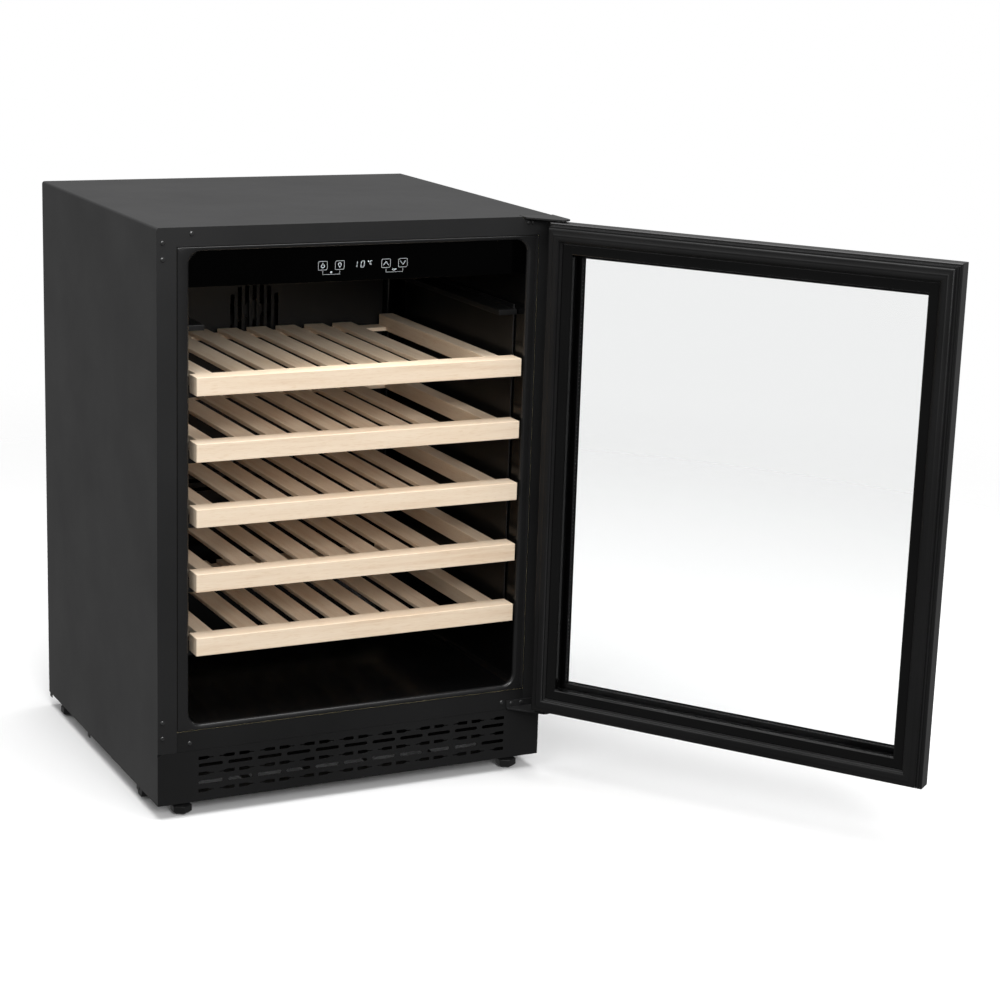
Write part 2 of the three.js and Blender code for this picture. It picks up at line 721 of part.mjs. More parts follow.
// One of the frame's four members, its ends cut at 45 degrees with a gap at each corner.
function frameMember(side) {
  const { half, bottom: low, top: high } = DOOR;
  const reach = 100;
  const nip = GAP / Math.SQRT2;
  const upright = (edge, inward) => [
    [edge, low + nip], [edge, high - nip],
    [edge + inward, high - nip - reach], [edge + inward, low + nip + reach],
  ];
  const level = (edge, inward) => [
    [nip - half, edge], [half - nip, edge],
    [half - nip - reach, edge + inward], [nip + reach - half, edge + inward],
  ];
  const wedge = {
    hinge: upright(half, -reach),
    free: upright(-half, reach),
    top: level(high, -reach),
    bottom: level(low, reach),
  }[side];
  const depth = HINGE.pinLength + 1;
  return cut(
    common(doorRing(FRAME_PROFILE), prismY(outline(wedge), [OUTER_FACE - 5, FRONT + 5])),
    cylinderZ(HINGE.x, HINGE_Y, [high - depth, high + 1], HINGE.boreRadius),
    cylinderZ(HINGE.x, HINGE_Y, [low - 1, low + depth], HINGE.boreRadius),
  );
}

function pane(inset, [near, far]) {
  const upright = [DOOR.bottom + inset, DOOR.top - inset];
  return block([inset - DOOR.half, DOOR.half - inset], [OUTER_FACE + near, OUTER_FACE + far], upright);
}

// A flat bar on two round posts.
function doorHandle() {
  const { inset, width, standoff, depth, low, high, postInset } = HANDLE;
  const x0 = inset - DOOR.half;
  const face = OUTER_FACE - standoff;
  const section = roundedRectangle([x0, x0 + width], [face - depth, face], 3);
  let handle = toSolid(prismZ(section, [low, high]));
  for (const z of [low + postInset, high - postInset]) {
    const post = cylinderY(x0 + width / 2, [face - 2, OUTER_FACE - GAP], z, HANDLE_POST_RADIUS, 16);
    handle = join(handle, post);
  }
  return handle;
}

// ---------------------------------------------------------------- hinges

const PLATE = 2.2;

function hingeLeaf(left, back) {
  const eye = { x: HINGE.x - 1, radius: HALF - HINGE.x + 1 };
  const shape = new THREE.Shape();
  shape.moveTo(left, back);
  shape.lineTo(left, FRONT - 5);
  shape.absarc(eye.x, HINGE_Y, eye.radius, -0.65 * Math.PI, 0);
  shape.lineTo(HALF, back);
  return shape;
}

function hingeBracketTop() {
  const { top } = CABINET;
  const plate = [top - PLATE, top];
  const leg = [behind(SHEET + GAP), behind(SHEET + GAP + 2)];
  return join(
    prismZ(hingeLeaf(HINGE_LEG.left, behind(HINGE_NOTCH.depth - GAP)), plate),
    block([HINGE_LEG.left, HINGE_LEG.right], leg, [HINGE_LEG.bottom, top - 1]),
    ...HINGE_STUDS.map(([x, z]) => stud(x, z)),
    cylinderZ(HINGE.x, HINGE_Y, [DOOR.top - HINGE.pinLength, top - 1], HINGE.pinRadius),
  );
}

const HINGE_LEVEL = 102;

function hingeBracketBottom() {
  const left = 242;
  const flange = [FRONT - GAP - 2, FRONT - GAP];
  const bolts = [250, 266].map((x) => (
    dome(STUD.head, STUD.headHeight).rotateX(Math.PI / 2).translate(x, flange[0] + 0.01, HINGE_LEVEL + 5)
  ));
  return join(
    prismZ(hingeLeaf(left, FRONT - GAP), [HINGE_LEVEL - PLATE, HINGE_LEVEL]),
    block([left, HALF - 2], flange, [HINGE_LEVEL - 1, HINGE_LEVEL + 10]),
    ...bolts,
    cylinderZ(HINGE.x, HINGE_Y, [HINGE_LEVEL - 1, DOOR.bottom + HINGE.pinLength], HINGE.pinRadius),
  );
}

function hingeWasher() {
  const inner = HINGE.pinRadius + GAP;
  const outer = 8.5;
  const [low, high] = [HINGE_LEVEL + GAP, DOOR.bottom - GAP];
  const profile = [[inner, low], [outer, low], [outer, high], [inner, high], [inner, low]];
  return turned(profile, HINGE.x, HINGE_Y);
}

// ---------------------------------------------------------------- assembly

const cooler = new THREE.Group();

function add(parent, name, piece, finish) {
  const geometry = piece.isBufferGeometry ? piece : toGeometry(piece);
  const mesh = new THREE.Mesh(geometry, new THREE.MeshStandardMaterial(FINISHES[finish]));
  mesh.name = name;
  parent.add(mesh);
}

add(cooler, 'outer_wrap', outerWrap(), 'caseBlack');
add(cooler, 'sill_bar', sillBar(), 'caseBlack');
add(cooler, 'kick_plate', kickPlate(), 'caseBlack');
for (const [name, plate] of Object.entries(CORNER_PLATES)) {
  add(cooler, name, cornerPlate(plate), 'caseBlack');
}
add(cooler, 'back_panel', backPanel(), 'zinc');
add(cooler, 'rear_grille', rearGrille(), 'zinc');
add(cooler, 'power_inlet', powerInlet(), 'rubberBlack');
add(cooler, 'base_pan', basePan(), 'zinc');
add(cooler, 'glide_left', glide(-1), 'rubberBlack');
add(cooler, 'glide_right', glide(1), 'rubberBlack');
for (const name of Object.keys(FEET)) {
  add(cooler, name, levellingFoot(name), 'rubberBlack');
}

add(cooler, 'insulation', insulation(), 'foam');
add(cooler, 'liner', liner(), 'linerBlack');
add(cooler, 'shelf_runners_left', shelfRunners(-1), 'linerBlack');
add(cooler, 'shelf_runners_right', shelfRunners(1), 'linerBlack');

add(cooler, 'control_glass', controlGlass(), 'glossBlack');
add(cooler, 'control_housing', controlHousing(), 'linerBlack');
add(cooler, 'control_board', controlBoard(), 'boardGreen');
add(cooler, 'light_lens', lightLens(), 'lens');

const { fanZ, fanRadius } = DUCT;
add(cooler, 'duct_cover', ductCover(), 'linerBlack');
add(cooler, 'evaporator', finBlock([-150, 150], [432, 466], [400, 560], 16), 'aluminium');
add(
  cooler, 'evaporator_fan_frame',
  fanFrame(0, fanZ, [446, 466], fanRadius + 2, fanRadius + 6), 'linerBlack',
);
add(cooler, 'evaporator_fan_rotor', fanRotor(0, fanZ, [426, 445], fanRadius), 'linerBlack');
add(cooler, 'temperature_probe', temperatureProbe(), 'lens');

const BAY_FAN = { x: -150, z: 72, radius: 40, frame: [360, 380], rotor: [344, 359] };
add(cooler, 'compressor', compressor(), 'glossBlack');
add(cooler, 'condenser', finBlock([-232, -62], [150, 310], [30, 96], 14), 'aluminium');
add(
  cooler, 'condenser_fan_frame',
  fanFrame(BAY_FAN.x, BAY_FAN.z, BAY_FAN.frame, BAY_FAN.radius + 2, BAY_FAN.radius + 6), 'linerBlack',
);
add(
  cooler, 'condenser_fan_rotor',
  fanRotor(BAY_FAN.x, BAY_FAN.z, BAY_FAN.rotor, BAY_FAN.radius), 'linerBlack',
);
add(cooler, 'drip_tray', dripTray(), 'linerBlack');

for (let level = 0; level < SHELF.count; level += 1) {
  add(cooler, `shelf_${level + 1}_front`, shelfFront(level), 'beech');
  add(cooler, `shelf_${level + 1}_rack`, shelfRack(level), 'beech');
}

add(cooler, 'hinge_bracket_top', hingeBracketTop(), 'caseBlack');
add(cooler, 'hinge_bracket_bottom', hingeBracketBottom(), 'caseBlack');
add(cooler, 'hinge_washer', hingeWasher(), 'lens');

// The door is drawn closed, and swings about the hinge pins.
const swing = new THREE.Group();
swing.position.set(HINGE.x, HINGE_Y, 0);
swing.rotation.z = THREE.MathUtils.degToRad(DOOR.openAngle);
const door = new THREE.Group();
door.position.set(-HINGE.x, -HINGE_Y, 0);
swing.add(door);
cooler.add(swing);

add(door, 'door_stile_hinge', frameMember('hinge'), 'frameBlack');
add(door, 'door_stile_free', frameMember('free'), 'frameBlack');
add(door, 'door_rail_top', frameMember('top'), 'frameBlack');
add(door, 'door_rail_bottom', frameMember('bottom'), 'frameBlack');
add(door, 'door_bezel', doorRing(BEZEL_PROFILE), 'glossBlack');
add(door, 'door_gasket', doorRing(GASKET_PROFILE), 'rubberBlack');
add(door, 'glass_spacer', doorRing(SPACER_PROFILE), 'frameBlack');
add(door, 'glass_outer', pane(34.3, [0.3, 4.3]), 'glass');
add(door, 'glass_inner', pane(38.3, [14, 18]), 'glass');
add(door, 'door_handle', doorHandle(), 'frameBlack');

export default cooler;
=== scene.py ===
"""Looks for an under-counter wine cooler whose glass door stands open.

Metres. +X is to the right, +Y to the back, +Z up, and the origin lies on the floor.
"""

import json
import math
import random

import bmesh
import bpy
from mathutils import Matrix, Vector


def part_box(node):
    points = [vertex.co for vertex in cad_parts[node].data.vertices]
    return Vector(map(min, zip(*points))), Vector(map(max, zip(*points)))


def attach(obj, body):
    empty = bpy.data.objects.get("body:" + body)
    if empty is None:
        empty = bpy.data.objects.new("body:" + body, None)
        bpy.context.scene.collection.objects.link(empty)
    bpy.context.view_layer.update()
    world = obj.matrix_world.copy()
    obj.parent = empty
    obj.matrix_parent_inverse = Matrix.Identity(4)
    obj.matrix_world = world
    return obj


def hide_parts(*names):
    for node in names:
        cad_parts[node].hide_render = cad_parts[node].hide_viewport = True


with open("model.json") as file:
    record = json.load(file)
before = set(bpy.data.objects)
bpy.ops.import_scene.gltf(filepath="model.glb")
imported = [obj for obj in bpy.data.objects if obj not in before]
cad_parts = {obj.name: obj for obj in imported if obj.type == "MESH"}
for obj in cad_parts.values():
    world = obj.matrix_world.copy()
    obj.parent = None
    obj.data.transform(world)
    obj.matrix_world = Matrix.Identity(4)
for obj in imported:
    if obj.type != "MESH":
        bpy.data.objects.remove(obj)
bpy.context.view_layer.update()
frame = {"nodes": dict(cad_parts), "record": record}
RECORD = frame["record"]
BODY_OF = {node: body for body, nodes in RECORD["behaviour"]["bodies"].items() for node in nodes}
JOINTS = {joint["name"]: joint for joint in RECORD["behaviour"]["joints"]}
MM = 0.001

# ---------------------------------------------------------------- places taken from the frame

CASE_LOW, CASE_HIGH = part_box("outer_wrap")
LINER_LOW, LINER_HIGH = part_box("liner")
FRONT = CASE_LOW.y

HINGE = Vector(JOINTS["door_hinge"]["pos_m"])
OPEN_ANGLE = -math.radians(JOINTS["door_hinge"]["range_deg"][0])
OPEN_TURN = (
    Matrix.Translation(HINGE) @ Matrix.Rotation(OPEN_ANGLE, 4, "Z") @ Matrix.Translation(-HINGE)
)

DOOR_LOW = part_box("door_rail_bottom")[0].z
DOOR_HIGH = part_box("door_rail_top")[1].z
DOOR_HALF = CASE_HIGH.x + 1.5 * MM
DOOR_OUTER = HINGE.y - 7 * MM

# ---------------------------------------------------------------- sizes shared with the CAD part

CAVITY_HALF = 252 * MM
CAVITY_FLOOR = 136 * MM
CAVITY_CEILING = 798 * MM
CAVITY_RADIUS = 18 * MM
CAVITY_DEPTH = 472 * MM
LINER_WALL = 2 * MM
LIP = 5 * MM
LIP_PROUD = 1 * MM
STEP_DEPTH = 372 * MM
STEP_TOP = 225 * MM
SPACER_INSET = 47 * MM
SHELF_COUNT = 5
RACK_RAIL_WIDTH = 24 * MM
BATTEN_WIDTH = 28 * MM
BATTEN_HEIGHT = 6 * MM
SLAT_COUNT = 7
SLAT_WIDTH = 32 * MM
SLAT_TOP = 12 * MM

# ---------------------------------------------------------------- sizes of what only the looks have

LINER_BEND = 6 * MM
TRIM_CORNER = 1.5 * MM
TRIM_BACK = LIP - 0.8 * MM
STEP_RADIUS = 10 * MM
SHARP_CORNER = 0.01 * MM
BREATHER_DEPTH = 9.2 * MM
BREATHER_PITCH = 6 * MM
BREATHER_RADIUS = 0.55 * MM


def behind(depth):
    """The y of a point that lies depth metres behind the cabinet's front face."""
    return FRONT + depth


# ---------------------------------------------------------------- node helpers


class Nodes:
    """A short way to build one material's node tree."""

    def __init__(self, name):
        self.material = bpy.data.materials.new(name)
        self.material.use_nodes = True
        self.tree = self.material.node_tree
        self.shader = self.tree.nodes["Principled BSDF"]
        self.coords = self.add("ShaderNodeTexCoord").outputs["Object"]

    def add(self, kind, **settings):
        node = self.tree.nodes.new(kind)
        for key, value in settings.items():
            setattr(node, key, value)
        return node

    def link(self, output, target):
        self.tree.links.new(output, target)

    def stretched(self, scale):
        mapping = self.add("ShaderNodeMapping")
        mapping.inputs["Scale"].default_value = scale
        self.link(self.coords, mapping.inputs["Vector"])
        return mapping.outputs["Vector"]

    def noise(self, scale, detail=3.0, roughness=0.55, vector=None):
        noise = self.add("ShaderNodeTexNoise")
        noise.inputs["Scale"].default_value = scale
        noise.inputs["Detail"].default_value = detail
        noise.inputs["Roughness"].default_value = roughness
        self.link(vector or self.coords, noise.inputs["Vector"])
        return noise.outputs["Fac"]

    def ramp(self, value, stops):
        ramp = self.add("ShaderNodeValToRGB")
        elements = ramp.color_ramp.elements
        while len(elements) < len(stops):
            elements.new(0.5)
        for element, (position, colour) in zip(elements, stops):
            element.position = position
            element.color = (*colour, 1)
        self.link(value, ramp.inputs["Fac"])
        return ramp.outputs["Color"]

    def span(self, value, low, high):
        """value, from 0 to 1, turned into low to high."""
        spread = self.add("ShaderNodeMapRange")
        spread.inputs["To Min"].default_value = low
        spread.inputs["To Max"].default_value = high
        self.link(value, spread.inputs["Value"])
        return spread.outputs["Result"]

    def math(self, operation, first, second):
        node = self.add("ShaderNodeMath", operation=operation)
        for socket, value in zip(node.inputs, (first, second)):
            if isinstance(value, (int, float)):
                socket.default_value = value
            else:
                self.link(value, socket)
        return node.outputs["Value"]

    def bump(self, height, strength, distance):
        bump = self.add("ShaderNodeBump")
        bump.inputs["Strength"].default_value = strength
        bump.inputs["Distance"].default_value = distance
        self.link(height, bump.inputs["Height"])
        self.link(bump.outputs["Normal"], self.shader.inputs["Normal"])


def grey(value):
    return (value, value, value * 1.02)


def painted(name, dark, light, roughness, peel=0.12, specular=0.4):
    """Powder coat: a fine orange peel, and a slightly uneven tone."""
    n = Nodes(name)
    tone = n.noise(3.5, 4)
    n.link(n.ramp(tone, [(0.3, grey(dark)), (0.7, grey(light))]), n.shader.inputs["Base Color"])
    n.link(n.span(n.noise(9, 5), roughness - 0.07, roughness + 0.07), n.shader.inputs["Roughness"])
    n.bump(n.noise(1400, 2), peel, 0.1 * MM)
    n.shader.inputs["Specular IOR Level"].default_value = specular
    return n.material


def moulded(name, dark, light, roughness, grain=700, depth=0.05, specular=0.5):
    """Moulded plastic or rubber: a fine grain and faint flow waves."""
    n = Nodes(name)
    n.link(
        n.ramp(n.noise(6, 3), [(0.3, grey(dark)), (0.7, grey(light))]), n.shader.inputs["Base Color"]
    )
    n.link(n.span(n.noise(14, 4), roughness - 0.05, roughness + 0.06), n.shader.inputs["Roughness"])
    waves = n.math("ADD", n.noise(grain, 2), n.math("MULTIPLY", n.noise(12, 2), 2.0))
    n.bump(waves, depth, 0.2 * MM)
    n.shader.inputs["Specular IOR Level"].default_value = specular
    return n.material


def metal(name, colour, roughness, stretch=(1, 1, 60), metallic=1.0):
    """Brushed metal, its fine lines along the axis that isn't stretched."""
    n = Nodes(name)
    lines = n.noise(40, 6, 0.7, n.stretched(stretch))
    low = tuple(c * 0.82 for c in colour)
    n.link(n.ramp(lines, [(0.3, low), (0.7, colour)]), n.shader.inputs["Base Color"])
    n.link(n.span(lines, roughness - 0.08, roughness + 0.1), n.shader.inputs["Roughness"])
    n.shader.inputs["Metallic"].default_value = metallic
    n.bump(lines, 0.08, 0.1 * MM)
    return n.material


def galvanised(name, dark, light):
    """Zinc spangle: flat crystals of slightly different greys."""
    n = Nodes(name)
    cells = n.add("ShaderNodeTexVoronoi")
    cells.inputs["Scale"].default_value = 150
    n.link(n.coords, cells.inputs["Vector"])
    tone = n.add("ShaderNodeSeparateColor")
    n.link(cells.outputs["Color"], tone.inputs["Color"])
    shade = n.ramp(tone.outputs["Red"], [(0.0, grey(dark)), (1.0, grey(light))])
    n.link(shade, n.shader.inputs["Base Color"])
    n.link(n.span(tone.outputs["Green"], 0.36, 0.44), n.shader.inputs["Roughness"])
    n.shader.inputs["Metallic"].default_value = 0.9
    n.bump(n.noise(60, 3), 0.05, 0.2 * MM)
    return n.material


def beech(name, along):
    """Pale beech: faint long grain, short fine flecks and a soft change of tone from piece to piece."""
    n = Nodes(name)
    shift = n.add("ShaderNodeAttribute", attribute_name="grain_shift")
    place = n.add("ShaderNodeVectorMath", operation="ADD")
    n.link(n.coords, place.inputs[0])
    n.link(shift.outputs["Vector"], place.inputs[1])
    n.coords = place.outputs["Vector"]
    long = [1.0, 1.0, 1.0]
    long["XYZ".index(along)] = 0.05
    rings = n.noise(95, 4, 0.6, n.stretched(long))
    long["XYZ".index(along)] = 0.10
    flecks = n.noise(700, 2, 0.5, n.stretched(long))
    tone = n.noise(5, 2)
    wood = n.ramp(rings, [
        (0.30, (0.80, 0.62, 0.45)), (0.46, (0.87, 0.71, 0.54)), (0.60, (0.90, 0.745, 0.575)),
        (0.78, (0.92, 0.775, 0.61)),
    ])
    dark = n.ramp(flecks, [(0.32, (0.945, 0.915, 0.875)), (0.46, (1, 1, 1))])
    warm = n.ramp(tone, [(0.25, (0.97, 0.955, 0.935)), (0.75, (1, 1, 1))])
    colour = wood
    for layer in (dark, warm):
        mix = n.add("ShaderNodeMix", data_type="RGBA", blend_type="MULTIPLY")
        mix.inputs["Factor"].default_value = 1.0
        n.link(colour, mix.inputs["A"])
        n.link(layer, mix.inputs["B"])
        colour = mix.outputs["Result"]
    n.link(colour, n.shader.inputs["Base Color"])
    n.link(n.span(rings, 0.62, 0.46), n.shader.inputs["Roughness"])
    n.bump(n.math("ADD", rings, flecks), 0.12, 0.15 * MM)
    n.shader.inputs["Specular IOR Level"].default_value = 0.35
    return n.material


def clear_glass(name, tint):
    """A pane that reflects at its faces and lets the rest through."""
    n = Nodes(name)
    tree = n.tree
    through = n.add("ShaderNodeBsdfTransparent")
    through.inputs["Color"].default_value = (*tint, 1)
    mirror = n.add("ShaderNodeBsdfGlossy")
    mirror.inputs["Roughness"].default_value = 0.02
    edge = n.add("ShaderNodeFresnel")
    edge.inputs["IOR"].default_value = 1.25
    mix = n.add("ShaderNodeMixShader")
    n.link(edge.outputs["Fac"], mix.inputs["Fac"])
    n.link(through.outputs["BSDF"], mix.inputs[1])
    n.link(mirror.outputs["BSDF"], mix.inputs[2])
    ripple = n.add("ShaderNodeBump")
    ripple.inputs["Strength"].default_value = 0.02
    ripple.inputs["Distance"].default_value = 0.1 * MM
    n.link(n.noise(4, 1), ripple.inputs["Height"])
    n.link(ripple.outputs["Normal"], mirror.inputs["Normal"])
    n.link(mix.outputs["Shader"], tree.nodes["Material Output"].inputs["Surface"])
    tree.nodes.remove(n.shader)
    return n.material


def glowing(name, colour, strength):
    """A lit diffuser or a lit mark, a little uneven in brightness."""
    n = Nodes(name)
    low = tuple(c * 0.9 for c in colour)
    n.link(n.ramp(n.noise(30, 2), [(0.3, low), (0.7, colour)]), n.shader.inputs["Emission Color"])
    n.shader.inputs["Emission Strength"].default_value = strength
    n.shader.inputs["Base Color"].default_value = (*colour, 1)
    n.shader.inputs["Roughness"].default_value = 0.4
    return n.material


def foam(name):
    """Poured foam: a skin over small cells."""
    n = Nodes(name)
    cells = n.add("ShaderNodeTexVoronoi")
    cells.inputs["Scale"].default_value = 400
    n.link(n.coords, cells.inputs["Vector"])
    n.link(
        n.ramp(n.noise(8, 4), [(0.3, (0.62, 0.52, 0.28)), (0.7, (0.74, 0.65, 0.40))]),
        n.shader.inputs["Base Color"],
    )
    n.shader.inputs["Roughness"].default_value = 0.9
    n.bump(cells.outputs["Distance"], 0.4, 0.5 * MM)
    return n.material


def circuit_board(name):
    """Green solder mask with a faint track pattern."""
    n = Nodes(name)
    tracks = n.add("ShaderNodeTexBrick")
    tracks.inputs["Scale"].default_value = 90
    tracks.inputs["Color1"].default_value = (0.012, 0.08, 0.03, 1)
    tracks.inputs["Color2"].default_value = (0.015, 0.10, 0.04, 1)
    tracks.inputs["Mortar"].default_value = (0.03, 0.16, 0.06, 1)
    n.link(n.coords, tracks.inputs["Vector"])
    n.link(tracks.outputs["Color"], n.shader.inputs["Base Color"])
    n.link(n.span(n.noise(50, 2), 0.3, 0.45), n.shader.inputs["Roughness"])
    return n.material


CASE_PAINT = painted("case_paint", 0.011, 0.016, 0.42, 0.10, 0.32)
STRIP_PAINT = painted("strip_paint", 0.007, 0.011, 0.38, 0.08, 0.3)
HINGE_PAINT = painted("hinge_paint", 0.010, 0.016, 0.38, 0.08, 0.4)
COMPRESSOR_PAINT = painted("compressor_paint", 0.006, 0.010, 0.25, 0.3)
LINER_PLASTIC = moulded("liner_plastic", 0.002, 0.0035, 0.16, depth=0.03, specular=0.3)
DARK_PLASTIC = moulded("dark_plastic", 0.004, 0.007, 0.38, specular=0.35)
FOOT_PLASTIC = moulded("foot_plastic", 0.006, 0.011, 0.45, 500, 0.12, 0.4)
# A lighter copy of the liner's black plastic, laid on the liner's front trim: painted sheen where the
# trim catches the light.
LIT_TRIM_PLASTIC = moulded("lit_trim_plastic", 0.010, 0.014, 0.24, depth=0.02, specular=0.4)
STUD_PAINT = painted("stud_paint", 0.016, 0.022, 0.16, 0.02, 0.9)
GLOSS_PLASTIC = moulded("gloss_plastic", 0.0015, 0.003, 0.08, depth=0.02, specular=0.4)
PANEL_GLASS = moulded("panel_glass", 0.0003, 0.0006, 0.05, depth=0.005, specular=0.06)
GASKET_RUBBER = moulded("gasket_rubber", 0.005, 0.009, 0.40, 900, 0.06, 0.25)
FRAME_METAL = painted("frame_metal", 0.006, 0.011, 0.30, 0.05, 0.4)
SPACER_METAL = metal("spacer_metal", (0.016, 0.016, 0.017), 0.35)
HANDLE_METAL = metal("handle_metal", (0.035, 0.035, 0.037), 0.32, (60, 60, 1), 0.8)
FIN_METAL = metal("fin_metal", (0.66, 0.67, 0.68), 0.34, (60, 60, 1))
PIN_METAL = metal("pin_metal", (0.62, 0.60, 0.55), 0.28, (60, 1, 60))
ZINC = galvanised("zinc", 0.46, 0.54)
# The same zinc made darker: painted shade for the base pan, which is seen only through the kick plate's
# slots, in the dark machine bay.
SHADED_ZINC = galvanised("shaded_zinc", 0.10, 0.13)
BOARD_WOOD = beech("board_wood", "X")
SLAT_WOOD = beech("slat_wood", "Y")
DOOR_GLASS = clear_glass("door_glass", (0.974, 0.976, 0.976))
LENS_LIGHT = glowing("lens_light", (1.0, 0.93, 0.82), 7.0)
MARK_LIGHT = glowing("mark_light", (0.84, 0.90, 0.96), 0.75)
TILE_LIGHT = glowing("tile_light", (0.84, 0.88, 0.92), 0.32)
WHITE_PLASTIC = moulded("white_plastic", 0.62, 0.68, 0.4, 500, 0.08)
FOAM = foam("foam_fill")
BOARD_GREEN = circuit_board("board_green")

# ---------------------------------------------------------------- mesh helpers


def as_object(name, bm, material, smooth=True):
    mesh = bpy.data.meshes.new(name)
    bmesh.ops.recalc_face_normals(bm, faces=bm.faces)
    bm.to_mesh(mesh)
    bm.free()
    mesh.materials.append(material)
    piece = bpy.data.objects.new(name, mesh)
    bpy.context.scene.collection.objects.link(piece)
    if smooth:
        mesh.shade_smooth()
    return piece


def bevelled(piece, width, segments=2, angle=35):
    """Sharp edges become small rounds, and the flats between them stay flat."""
    bevel = piece.modifiers.new("bevel", "BEVEL")
    bevel.width = width
    bevel.segments = segments
    bevel.limit_method = "ANGLE"
    bevel.angle_limit = math.radians(angle)
    flats = piece.modifiers.new("flats", "WEIGHTED_NORMAL")
    flats.mode = "FACE_AREA"
    flats.weight = 100
    return piece


def settle(piece, body, slot, *nodes):
    """piece rides on body and stands for the CAD nodes, which it hides. slot is not used."""
    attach(piece, body)
    if nodes:
        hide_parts(*nodes)
    return piece


SLOT_OF = {part["node"]: part["material_slot"] for part in RECORD["subparts"]}


def refined(node, material, width, segments=2, angle=35):
    """The CAD node's shape with its sharp edges rounded."""
    bm = bmesh.new()
    bm.from_mesh(frame["nodes"][node].data)
    bmesh.ops.remove_doubles(bm, verts=bm.verts, dist=0.001 * MM)
    bmesh.ops.dissolve_limit(
        bm, angle_limit=math.radians(0.5), use_dissolve_boundaries=False, verts=bm.verts, edges=bm.edges
    )
    piece = as_object(node + "_finish", bm, material)
    bevelled(piece, width, segments, angle)
    return settle(piece, BODY_OF[node], SLOT_OF[node], node)


def studded(node, material, width):
    """A refined node whose stud heads, ahead of the front face, have a smoother paint."""
    paint_ahead(refined(node, material, width), STUD_PAINT, FRONT - 0.4 * MM)


def repainted(node, material):
    """The CAD node as it is, in a material of its own."""
    data = frame["nodes"][node].data
    data.materials.clear()
    data.materials.append(material)


def paint_ahead(piece, material, front):
    """The faces that lie ahead of y = front take a second material."""
    piece.data.materials.append(material)
    for face in piece.data.polygons:
        if face.center.y < front:
            face.material_index = 1


def add_box(bm, low, high):
    made = bmesh.ops.create_cube(bm, size=1)["verts"]
    low, high = Vector(low), Vector(high)
    for vert in made:
        vert.co = Vector((low[i] + high[i]) / 2 + vert.co[i] * (high[i] - low[i]) for i in range(3))
    return made


def rounded_loop(half_x, low_z, high_z, radius, steps):
    """Points round a rectangle with rounded corners, as x and z, with steps + 1 points a corner."""
    centres = [
        (half_x - radius, low_z + radius, -90), (half_x - radius, high_z - radius, 0),
        (radius - half_x, high_z - radius, 90), (radius - half_x, low_z + radius, 180),
    ]
    loop = []
    for x, z, start in centres:
        for i in range(steps + 1):
            angle = math.radians(start + 90 * i / steps)
            loop.append((x + radius * math.cos(angle), z + radius * math.sin(angle)))
    return loop


def loft(bm, rings, closed=False, capped=False):
    """Faces between rings of the same number of points."""
    rows = [[bm.verts.new(point) for point in ring] for ring in rings]
    pairs = list(zip(rows, rows[1:]))
    if closed:
        pairs.append((rows[-1], rows[0]))
    for first, second in pairs:
        for i in range(len(first)):
            j = (i + 1) % len(first)
            bm.faces.new((first[i], first[j], second[j], second[i]))
    if capped:
        bm.faces.new(rows[0])
        bm.faces.new(rows[-1])


def lathe(bm, profile, place, turn, steps):
    """A profile of radius and height turned about a line through place."""
    angles = [2 * math.pi * i / steps for i in range(steps)]
    rings = []
    for radius, height in profile:
        rings.append([
            place + turn @ Vector((radius * math.cos(a), radius * math.sin(a), height)) for a in angles
        ])
    loft(bm, rings, capped=True)


# ---------------------------------------------------------------- case, frame and base


def make_case():
    refined("outer_wrap", CASE_PAINT, 0.4 * MM, 2)
    studded("sill_bar", STRIP_PAINT, 0.3 * MM)
    refined("kick_plate", STRIP_PAINT, 0.25 * MM, 2, 50)
    for node in RECORD["behaviour"]["bodies"]["cabinet"]:
        if node.startswith("corner_plate"):
            studded(node, STRIP_PAINT, 0.2 * MM)
    repainted("back_panel", ZINC)
    refined("rear_grille", ZINC, 0.3 * MM)
    # The base pan takes the darkened zinc, painted shade of the machine bay behind the kick plate.
    repainted("base_pan", SHADED_ZINC)
    refined("power_inlet", DARK_PLASTIC, 0.6 * MM)
    for node in BODY_OF:
        if node.startswith("foot_"):
            refined(node, FOOT_PLASTIC, 0.8 * MM, 3)
        if node.startswith("glide_"):
            refined(node, FOOT_PLASTIC, 1.5 * MM, 3)
    repainted("insulation", FOAM)


def make_inlet_pins():
    """Three flat pins in the power socket's recess."""
    low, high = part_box("power_inlet")
    middle = (low + high) / 2
    back = high.y - 17 * MM
    bm = bmesh.new()
    for x, z in ((0, 2.5), (-6, -2.5), (6, -2.5)):
        low = Vector((middle.x + (x - 1) * MM, back, middle.z + (z - 2) * MM))
        add_box(bm, low, low + Vector((2 * MM, 12 * MM, 4 * MM)))
    pins = as_object("inlet_pins", bm, PIN_METAL)
    bevelled(pins, 0.4 * MM)
    settle(pins, "cabinet", "zinc_steel")


# ---------------------------------------------------------------- liner and what is fixed in it


def cavity_ring(grow, depth, steps=12):
    loop = rounded_loop(
        CAVITY_HALF + grow, CAVITY_FLOOR - grow, CAVITY_CEILING + grow, CAVITY_RADIUS + grow, steps
    )
    return [(x, behind(depth), z) for x, z in loop]


def trim_ring(shrink, depth, steps=12):
    loop = rounded_loop(
        LINER_HIGH.x - shrink, LINER_LOW.z + shrink, LINER_HIGH.z - shrink, TRIM_CORNER, steps
    )
    return [(x, behind(depth), z) for x, z in loop]


